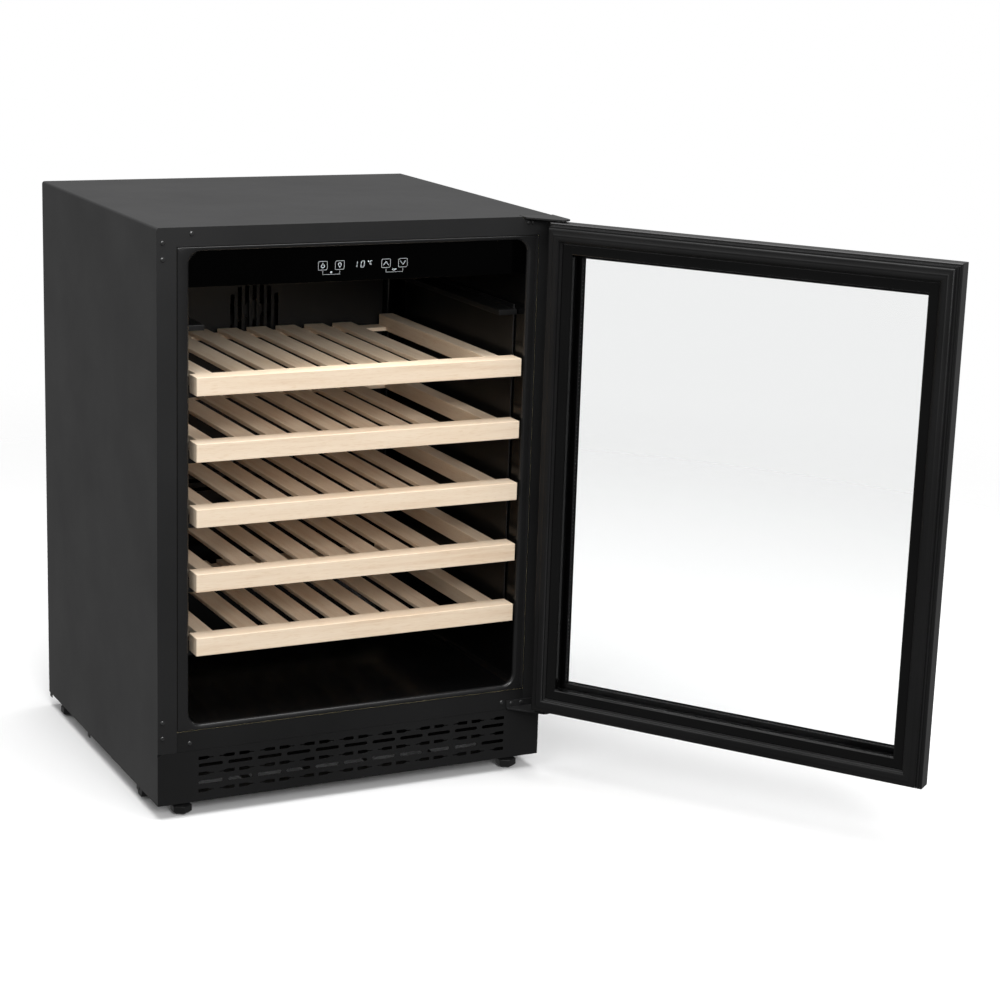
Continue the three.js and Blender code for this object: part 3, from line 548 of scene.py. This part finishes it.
def make_liner():
    bm = bmesh.new()
    rings = [
        cavity_ring(LINER_WALL, CAVITY_DEPTH + LINER_WALL),
        cavity_ring(LINER_WALL, LIP),
        trim_ring(0, LIP),
        trim_ring(0, TRIM_BACK),
        trim_ring(0.5 * MM, TRIM_BACK),
        trim_ring(0.5 * MM, -LIP_PROUD + 1.1 * MM),
        trim_ring(0.85 * MM, -LIP_PROUD + 0.35 * MM),
        trim_ring(1.6 * MM, -LIP_PROUD),
    ]
    steps = 8
    for i in range(steps + 1):
        angle = math.radians(90 * i / steps)
        rings.append(cavity_ring(LIP * (1 - math.sin(angle)), LIP * (1 - math.cos(angle)) - LIP_PROUD))
    steps = 4
    for i in range(steps + 1):
        angle = math.radians(90 * i / steps)
        inward, short = LINER_BEND * (1 - math.cos(angle)), LINER_BEND * (1 - math.sin(angle))
        rings.append(cavity_ring(-inward, CAVITY_DEPTH - short))
    loft(bm, rings, capped=True)
    liner = as_object("liner_shell", bm, LINER_PLASTIC)
    liner.data.set_sharp_from_angle(angle=math.radians(40))
    # The liner's front trim faces take the lighter plastic, a painted sheen.
    paint_ahead(liner, LIT_TRIM_PLASTIC, behind(LIP - 0.5 * MM))
    settle(liner, "cabinet", "liner_black", "liner")

    steps = 8
    centre_depth, centre_z = STEP_DEPTH + STEP_RADIUS, STEP_TOP - STEP_RADIUS
    profile = [(STEP_DEPTH, CAVITY_FLOOR - MM)]
    for i in range(steps + 1):
        angle = math.radians(180 - 90 * i / steps)
        profile.append((
            centre_depth + STEP_RADIUS * math.cos(angle), centre_z + STEP_RADIUS * math.sin(angle),
        ))
    profile += [(CAVITY_DEPTH + MM, STEP_TOP), (CAVITY_DEPTH + MM, CAVITY_FLOOR - MM)]
    bm = bmesh.new()
    ends = (-CAVITY_HALF - MM, CAVITY_HALF + MM)
    loft(bm, [[(x, behind(depth), z) for depth, z in profile] for x in ends], capped=True)
    step = as_object("liner_step", bm, LINER_PLASTIC)
    step.data.set_sharp_from_angle(angle=math.radians(40))
    settle(step, "cabinet", "liner_black")


def make_fittings():
    for side in ("left", "right"):
        refined(f"shelf_runners_{side}", DARK_PLASTIC, 1.2 * MM, 3)
    refined("duct_cover", DARK_PLASTIC, 1 * MM)
    repainted("evaporator", FIN_METAL)
    refined("evaporator_fan_frame", DARK_PLASTIC, 0.5 * MM)
    refined("evaporator_fan_rotor", DARK_PLASTIC, 0.3 * MM)
    refined("temperature_probe", WHITE_PLASTIC, 0.8 * MM)
    refined("control_glass", PANEL_GLASS, 0.5 * MM)
    refined("control_housing", DARK_PLASTIC, 1 * MM)
    repainted("control_board", BOARD_GREEN)
    refined("light_lens", LENS_LIGHT, 0.8 * MM)


def make_machine_bay():
    refined("compressor", COMPRESSOR_PAINT, 2 * MM, 3, 25)
    repainted("condenser", FIN_METAL)
    refined("condenser_fan_frame", DARK_PLASTIC, 0.5 * MM)
    refined("condenser_fan_rotor", DARK_PLASTIC, 0.3 * MM)
    refined("drip_tray", DARK_PLASTIC, 0.5 * MM)


# ---------------------------------------------------------------- touch controls

MARK_RADIUS = 0.22 * MM
TILE_RADIUS = 0.15 * MM
MARK_ROW = 772 * MM
MARK_HALF_WIDTH = 6.6 * MM
MARK_HALF_HEIGHT = 5.9 * MM
POWER, LAMP, UP, DOWN = (x * MM for x in (-59.5, -34.5, 34.6, 60.1))
TILE_CUT = 1.6 * MM
TILE_ARC = 0.9 * MM
DIGIT_BASE = 768 * MM
DIGIT_HEIGHT = 8.4 * MM
UNIT_BASE = DIGIT_BASE + 3.6 * MM
UNIT_HEIGHT = 4.8 * MM


def icon_frame(x, z):
    """A tile's outline: cut at the upper left and lower right, rounded at the other two corners."""
    wide, tall, arc = MARK_HALF_WIDTH, MARK_HALF_HEIGHT, TILE_ARC
    points = []
    for way, start in ((1, 0), (-1, 180)):
        for i in range(5):
            angle = math.radians(start + 22.5 * i)
            centre_x, centre_z = x + way * (wide - arc), z + way * (tall - arc)
            points.append((centre_x + arc * math.cos(angle), centre_z + arc * math.sin(angle)))
        points.append((x - way * (wide - TILE_CUT), z + way * tall))
        points.append((x - way * wide, z + way * (tall - TILE_CUT)))
    return points, True


def arc_points(x, z, radius, start, end, steps=16):
    angles = [math.radians(start + (end - start) * i / steps) for i in range(steps + 1)]
    return [(x + radius * math.cos(a), z + radius * math.sin(a)) for a in angles], False


def power_mark(x, z):
    return [
        arc_points(x, z - 0.5 * MM, 2.4 * MM, 130, 410),
        ([(x, z + 0.2 * MM), (x, z + 3.6 * MM)], False),
    ]


def lamp_mark(x, z):
    bulb = arc_points(x, z + 1.0 * MM, 2.2 * MM, -55, 235)
    collar = ([(x - 1.1 * MM, z - 1.8 * MM), (x + 1.1 * MM, z - 1.8 * MM)], False)
    tip = ([(x - 0.7 * MM, z - 3.0 * MM), (x + 0.7 * MM, z - 3.0 * MM)], False)
    return [bulb, collar, tip]


def chevron_mark(x, z, way):
    return [([(x + u * MM, z + way * v * MM) for u, v in ((-3.7, -2.6), (0, 2.6), (3.7, -2.6))], False)]


def link_mark(first, second, z):
    """A bracket under two tiles that are pressed together."""
    drop = z - MARK_HALF_HEIGHT - 1.4 * MM
    line = drop - 5.0 * MM
    return ([(first, drop), (first, line), (second, line), (second, drop)], False)


def segment_digit(x, z, width, height, lit, lean=0.14):
    """The lit bars of a leaning seven-bar numeral that stands at x, z."""
    gap = 0.06 * height
    middle = height / 2
    bars = {
        "a": ((gap, height), (width - gap, height)),
        "b": ((width, height - gap), (width, middle + gap)),
        "c": ((width, middle - gap), (width, gap)),
        "d": ((gap, 0), (width - gap, 0)),
        "e": ((0, middle - gap), (0, gap)),
        "f": ((0, height - gap), (0, middle + gap)),
    }
    return [([(x + u + lean * v, z + v) for u, v in bars[bar]], False) for bar in lit]


def tile_strokes():
    strokes = [icon_frame(x, MARK_ROW) for x in (POWER, LAMP, UP, DOWN)]
    return strokes + [link_mark(first, second, MARK_ROW) for first, second in ((POWER, LAMP), (UP, DOWN))]


def mark_strokes():
    """The four symbols, the small marks under their brackets, and a display of 10 degrees."""
    strokes = power_mark(POWER, MARK_ROW) + lamp_mark(LAMP, MARK_ROW)
    strokes += chevron_mark(UP, MARK_ROW, 1)
    strokes += chevron_mark(DOWN, MARK_ROW, -1)
    above = MARK_ROW - MARK_HALF_HEIGHT - 3.6 * MM
    strokes.append(arc_points((POWER + LAMP) / 2, above, 1.0 * MM, 0, 360))
    middle = (UP + DOWN) / 2
    slash = [(middle - 1.0 * MM, above - 1.2 * MM), (middle + 1.0 * MM, above + 1.6 * MM)]
    strokes.append((slash, False))
    strokes += [arc_points(middle + u * MM, above + 0.9 * MM, 0.5 * MM, 0, 360, 8) for u in (-2.2, 2.2)]
    strokes += segment_digit(-12.5 * MM, DIGIT_BASE, 3.2 * MM, DIGIT_HEIGHT, "bc")
    strokes += segment_digit(-3.4 * MM, DIGIT_BASE, 4.6 * MM, DIGIT_HEIGHT, "abcdef")
    strokes.append(arc_points(8.2 * MM, UNIT_BASE + 4.2 * MM, 0.6 * MM, 0, 360, 10))
    strokes += segment_digit(10.2 * MM, UNIT_BASE, 2.9 * MM, UNIT_HEIGHT, "adef")
    return strokes


def add_strokes(name, strokes, radius, material):
    """Fine round lines laid on the control glass."""
    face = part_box("control_glass")[0].y
    curve = bpy.data.curves.new(name, "CURVE")
    curve.dimensions = "3D"
    curve.bevel_depth = radius
    curve.bevel_resolution = 2
    curve.use_fill_caps = True
    for points, closed in strokes:
        spline = curve.splines.new("POLY")
        spline.points.add(len(points) - 1)
        for point, (x, z) in zip(spline.points, points):
            point.co = (x, face - 0.1 * MM, z, 1)
        spline.use_cyclic_u = closed
    curve.materials.append(material)
    marks = bpy.data.objects.new(name, curve)
    bpy.context.scene.collection.objects.link(marks)
    settle(marks, "cabinet", "light_lens")


def make_controls():
    add_strokes("control_tiles", tile_strokes(), TILE_RADIUS, TILE_LIGHT)
    add_strokes("control_marks", mark_strokes(), MARK_RADIUS, MARK_LIGHT)


# ---------------------------------------------------------------- shelves


def wooden(name, parts, material, bevel, seed):
    """One piece of several boards, each with its own stretch of grain."""
    rng = random.Random(seed)
    bm = bmesh.new()
    layer = bm.verts.layers.float_vector.new("grain_shift")
    for low, high in parts:
        shift = Vector(rng.uniform(0, 3) for _ in range(3))
        for vert in add_box(bm, low, high):
            vert[layer] = shift
    piece = as_object(name, bm, material)
    bevelled(piece, bevel, 3)
    return piece


def make_shelf(number):
    body = f"shelf_{number}"
    front_node, rack_node = f"{body}_front", f"{body}_rack"
    low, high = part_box(front_node)
    front = wooden(f"{front_node}_board", [(low, high)], BOARD_WOOD, 0.8 * MM, number)
    settle(front, body, "beech", front_node)

    low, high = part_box(rack_node)
    inner = high.x - RACK_RAIL_WIDTH
    rails = [
        ((low.x, low.y, low.z), (low.x + RACK_RAIL_WIDTH, high.y, high.z)),
        ((inner, low.y, low.z), (high.x, high.y, high.z)),
    ]
    pitch = (2 * inner - SLAT_WIDTH) / (SLAT_COUNT + 1)
    slats = []
    for i in range(1, SLAT_COUNT + 1):
        x = -inner + i * pitch
        slats.append((
            (x, low.y, low.z + BATTEN_HEIGHT), (x + SLAT_WIDTH, high.y, low.z + SLAT_TOP),
        ))
    rack = wooden(f"{rack_node}_slats", rails + slats, SLAT_WOOD, 1.2 * MM, 20 + number)
    settle(rack, body, "beech", rack_node)
    battens = [
        ((-inner, start, low.z), (inner, start + BATTEN_WIDTH, low.z + BATTEN_HEIGHT))
        for start in (low.y + MM, high.y - BATTEN_WIDTH - MM)
    ]
    cross = wooden(f"{body}_battens", battens, BOARD_WOOD, 1 * MM, 40 + number)
    settle(cross, body, "beech")


# ---------------------------------------------------------------- door


def on_door(piece, slot, *nodes):
    """piece is built as on the shut door, and swings open with it."""
    piece.matrix_world = OPEN_TURN
    return settle(piece, "door", slot, *nodes)


def door_ring(profile):
    """Rings round the door from a profile of inset and depth behind the door's outer face."""
    rings = []
    for inset, back in profile:
        edge = inset * MM
        loop = rounded_loop(DOOR_HALF - edge, DOOR_LOW + edge, DOOR_HIGH - edge, SHARP_CORNER, 1)
        rings.append([(x, DOOR_OUTER + back * MM, z) for x, z in loop])
    return rings


def arc_profile(inset, back, radius, start, end, steps=6):
    angles = [math.radians(start + (end - start) * i / steps) for i in range(steps + 1)]
    return [(inset + radius * math.cos(a), back + radius * math.sin(a)) for a in angles]


def make_gasket():
    """A wide crowned magnet band with a faint groove, and a thin inner lip."""
    profile = [(26, 34.7), (26, 35.6), (25.4, 36.1), (24.2, 36.2), (23.5, 36.8)]
    profile += arc_profile(20.6, 39.3, 2.6, -15, 80, 6)
    profile += [(17.6, 42.0), (16.6, 41.8), (15.6, 41.8), (14.8, 42.0), (13.6, 41.6), (12.8, 41.1)]
    profile += arc_profile(8.2, 38.6, 2.4, 85, 180, 7)
    profile += [(6.0, 37), (6.6, 35.8), (6.6, 34.3)]
    bm = bmesh.new()
    loft(bm, door_ring(profile), closed=True)
    gasket = as_object("gasket_ring", bm, GASKET_RUBBER)
    gasket.data.set_sharp_from_angle(angle=math.radians(38))
    on_door(gasket, "gasket_black", "door_gasket")


def make_spacer_holes():
    """Rows of fine bright dots along the spacer's inner side, which stand for its breather holes."""
    low = DOOR_LOW + SPACER_INSET
    high = DOOR_HIGH - SPACER_INSET
    half = DOOR_HALF - SPACER_INSET
    depth = DOOR_OUTER + BREATHER_DEPTH
    bm = bmesh.new()

    def dot(x, z, inward):
        out = Vector(inward)
        turn = Vector((0, 0, 1)).rotation_difference(out).to_matrix()
        radius = BREATHER_RADIUS
        profile = [(radius, -0.1 * MM), (radius, 0.12 * MM), (0.6 * radius, 0.2 * MM)]
        lathe(bm, profile, Vector((x, depth, z)), turn, 8)

    for i in range(1, int(2 * half / BREATHER_PITCH)):
        x = -half + i * BREATHER_PITCH
        dot(x, low, (0, 0, 1))
        dot(x, high, (0, 0, -1))
    for i in range(1, int((high - low) / BREATHER_PITCH)):
        z = low + i * BREATHER_PITCH
        dot(half, z, (-1, 0, 0))
        dot(-half, z, (1, 0, 0))
    holes = as_object("spacer_holes", bm, FIN_METAL)
    on_door(holes, "fin_aluminium")


def make_glass_border():
    """The black print round the outer pane's inner face, which hides the spacer from outside."""
    profile = [(34.6, 4.32), (48.5, 4.32), (48.5, 4.42), (34.6, 4.42)]
    bm = bmesh.new()
    loft(bm, door_ring(profile), closed=True)
    border = as_object("glass_border", bm, PANEL_GLASS, smooth=False)
    on_door(border, "panel_glass")


def make_door():
    for node in ("door_stile_hinge", "door_stile_free", "door_rail_top", "door_rail_bottom"):
        refined(node, FRAME_METAL, 0.4 * MM, 2)
    refined("door_bezel", GLOSS_PLASTIC, 0.8 * MM, 3, 25)
    refined("glass_spacer", SPACER_METAL, 0.4 * MM)
    refined("glass_outer", DOOR_GLASS, 0.5 * MM)
    refined("glass_inner", DOOR_GLASS, 0.5 * MM)
    refined("door_handle", HANDLE_METAL, 0.5 * MM, 3)
    make_gasket()
    make_spacer_holes()
    make_glass_border()


def make_hinges():
    refined("hinge_bracket_top", HINGE_PAINT, 0.4 * MM, 2)
    refined("hinge_bracket_bottom", HINGE_PAINT, 0.4 * MM, 2)
    refined("hinge_washer", WHITE_PLASTIC, 0.3 * MM)


# ---------------------------------------------------------------- stage, light and camera

FLOOR_RADIUS = 3.2
FLOOR_SOLID_RADIUS = 0.7
FLOOR_CLEAR_RADIUS = 0.9 * FLOOR_RADIUS
SKY_DIM = 0.14
SKY_BEHIND = 0.30
SKY_ABOVE = 0.55
# name, place, the point it is aimed at, width and height, and power in watts
SOFTBOXES = (
    ("overhead_softbox", (0, -0.6, 3.4), (0, -0.2, 0), (3.0, 3.0), 138),
    ("left_softbox", (-3.6, -1.2, 2.2), (0, 0, 0.4), (1.4, 1.8), 14),
    ("front_softbox", (-0.6, -4.2, 2.2), (0, -0.2, 0.4), (2.0, 1.4), 104),
)
CAMERA_PLACE = (-1.2902, -3.2440, 1.2532)
CAMERA_TURN = (-26.93, -14.01, -1.91)  # yaw, pitch and roll in degrees
LENS_LENGTH = 85.44  # mm
SENSOR_WIDTH = 36  # mm


def make_stage():
    """A pale floor that thins out towards its edge, so that it has no horizon."""
    bm = bmesh.new()
    bmesh.ops.create_circle(bm, cap_ends=True, segments=96, radius=FLOOR_RADIUS)
    n = Nodes("floor_paint")
    n.link(
        n.ramp(n.noise(0.8, 3), [(0.3, (0.90, 0.90, 0.90)), (0.7, (0.92, 0.92, 0.92))]),
        n.shader.inputs["Base Color"],
    )
    n.shader.inputs["Roughness"].default_value = 0.85
    n.shader.inputs["Specular IOR Level"].default_value = 0.1
    distance = n.add("ShaderNodeVectorMath", operation="LENGTH")
    n.link(n.coords, distance.inputs[0])
    fade = n.add("ShaderNodeMapRange", interpolation_type="SMOOTHSTEP")
    fade.inputs["From Min"].default_value = FLOOR_SOLID_RADIUS
    fade.inputs["From Max"].default_value = FLOOR_CLEAR_RADIUS
    fade.inputs["To Min"].default_value = 1.0
    fade.inputs["To Max"].default_value = 0.0
    n.link(distance.outputs["Value"], fade.inputs["Value"])
    n.link(fade.outputs["Result"], n.shader.inputs["Alpha"])
    floor = as_object("floor", bm, n.material, smooth=False)
    floor.location.z = -0.2 * MM
    floor.visible_diffuse = False
    floor.visible_glossy = False


def make_world():
    """White to the eye; as a light it is dim in front of the cooler and brighter above and behind."""
    world = bpy.data.worlds.new("studio")
    bpy.context.scene.world = world
    world.use_nodes = True
    tree = world.node_tree
    limits = ("From Min", "From Max", "To Min", "To Max")

    def spread(value, low, high, to_low, to_high):
        node = tree.nodes.new("ShaderNodeMapRange")
        for name, number in zip(limits, (low, high, to_low, to_high)):
            node.inputs[name].default_value = number
        tree.links.new(value, node.inputs["Value"])
        return node.outputs["Result"]

    def brighter(first, second):
        node = tree.nodes.new("ShaderNodeMath")
        node.operation = "MAXIMUM"
        tree.links.new(first, node.inputs[0])
        tree.links.new(second, node.inputs[1])
        return node.outputs["Value"]

    way = tree.nodes.new("ShaderNodeSeparateXYZ")
    tree.links.new(tree.nodes.new("ShaderNodeTexCoord").outputs["Generated"], way.inputs["Vector"])
    behind_it = spread(way.outputs["Y"], -0.3, 0.8, SKY_DIM, SKY_BEHIND)
    above_it = spread(way.outputs["Z"], 0.05, 0.6, SKY_DIM, SKY_ABOVE)
    eye = tree.nodes.new("ShaderNodeLightPath").outputs["Is Camera Ray"]
    strength = brighter(brighter(behind_it, above_it), eye)
    background = tree.nodes["Background"]
    background.inputs["Color"].default_value = (1, 1, 1, 1)
    tree.links.new(strength, background.inputs["Strength"])


def add_softbox(name, place, aim, size, power):
    light = bpy.data.lights.new(name, "AREA")
    light.shape = "RECTANGLE"
    light.size, light.size_y = size
    light.energy = power
    lamp = bpy.data.objects.new(name, light)
    lamp.location = place
    lamp.rotation_euler = (Vector(aim) - Vector(place)).to_track_quat("-Z", "Y").to_euler()
    bpy.context.scene.collection.objects.link(lamp)


def make_lights():
    for softbox in SOFTBOXES:
        add_softbox(*softbox)


def make_camera():
    yaw, pitch, roll = (math.radians(angle) for angle in CAMERA_TURN)
    turn = (
        Matrix.Rotation(yaw, 4, "Z") @ Matrix.Rotation(pitch, 4, "X") @ Matrix.Rotation(roll, 4, "Y")
        @ Matrix.Rotation(math.pi / 2, 4, "X")
    )
    camera = bpy.data.objects.new("camera", bpy.data.cameras.new("camera"))
    camera.data.sensor_width = SENSOR_WIDTH
    camera.data.lens = LENS_LENGTH
    camera.matrix_world = Matrix.Translation(CAMERA_PLACE) @ turn
    bpy.context.scene.collection.objects.link(camera)
    bpy.context.scene.camera = camera


make_camera()
make_stage()
make_world()
make_lights()
make_case()
make_inlet_pins()
make_liner()
make_fittings()
make_controls()
make_machine_bay()
for number in range(1, SHELF_COUNT + 1):
    make_shelf(number)
make_hinges()
make_door()
bpy.context.scene.view_settings.view_transform = "Standard"
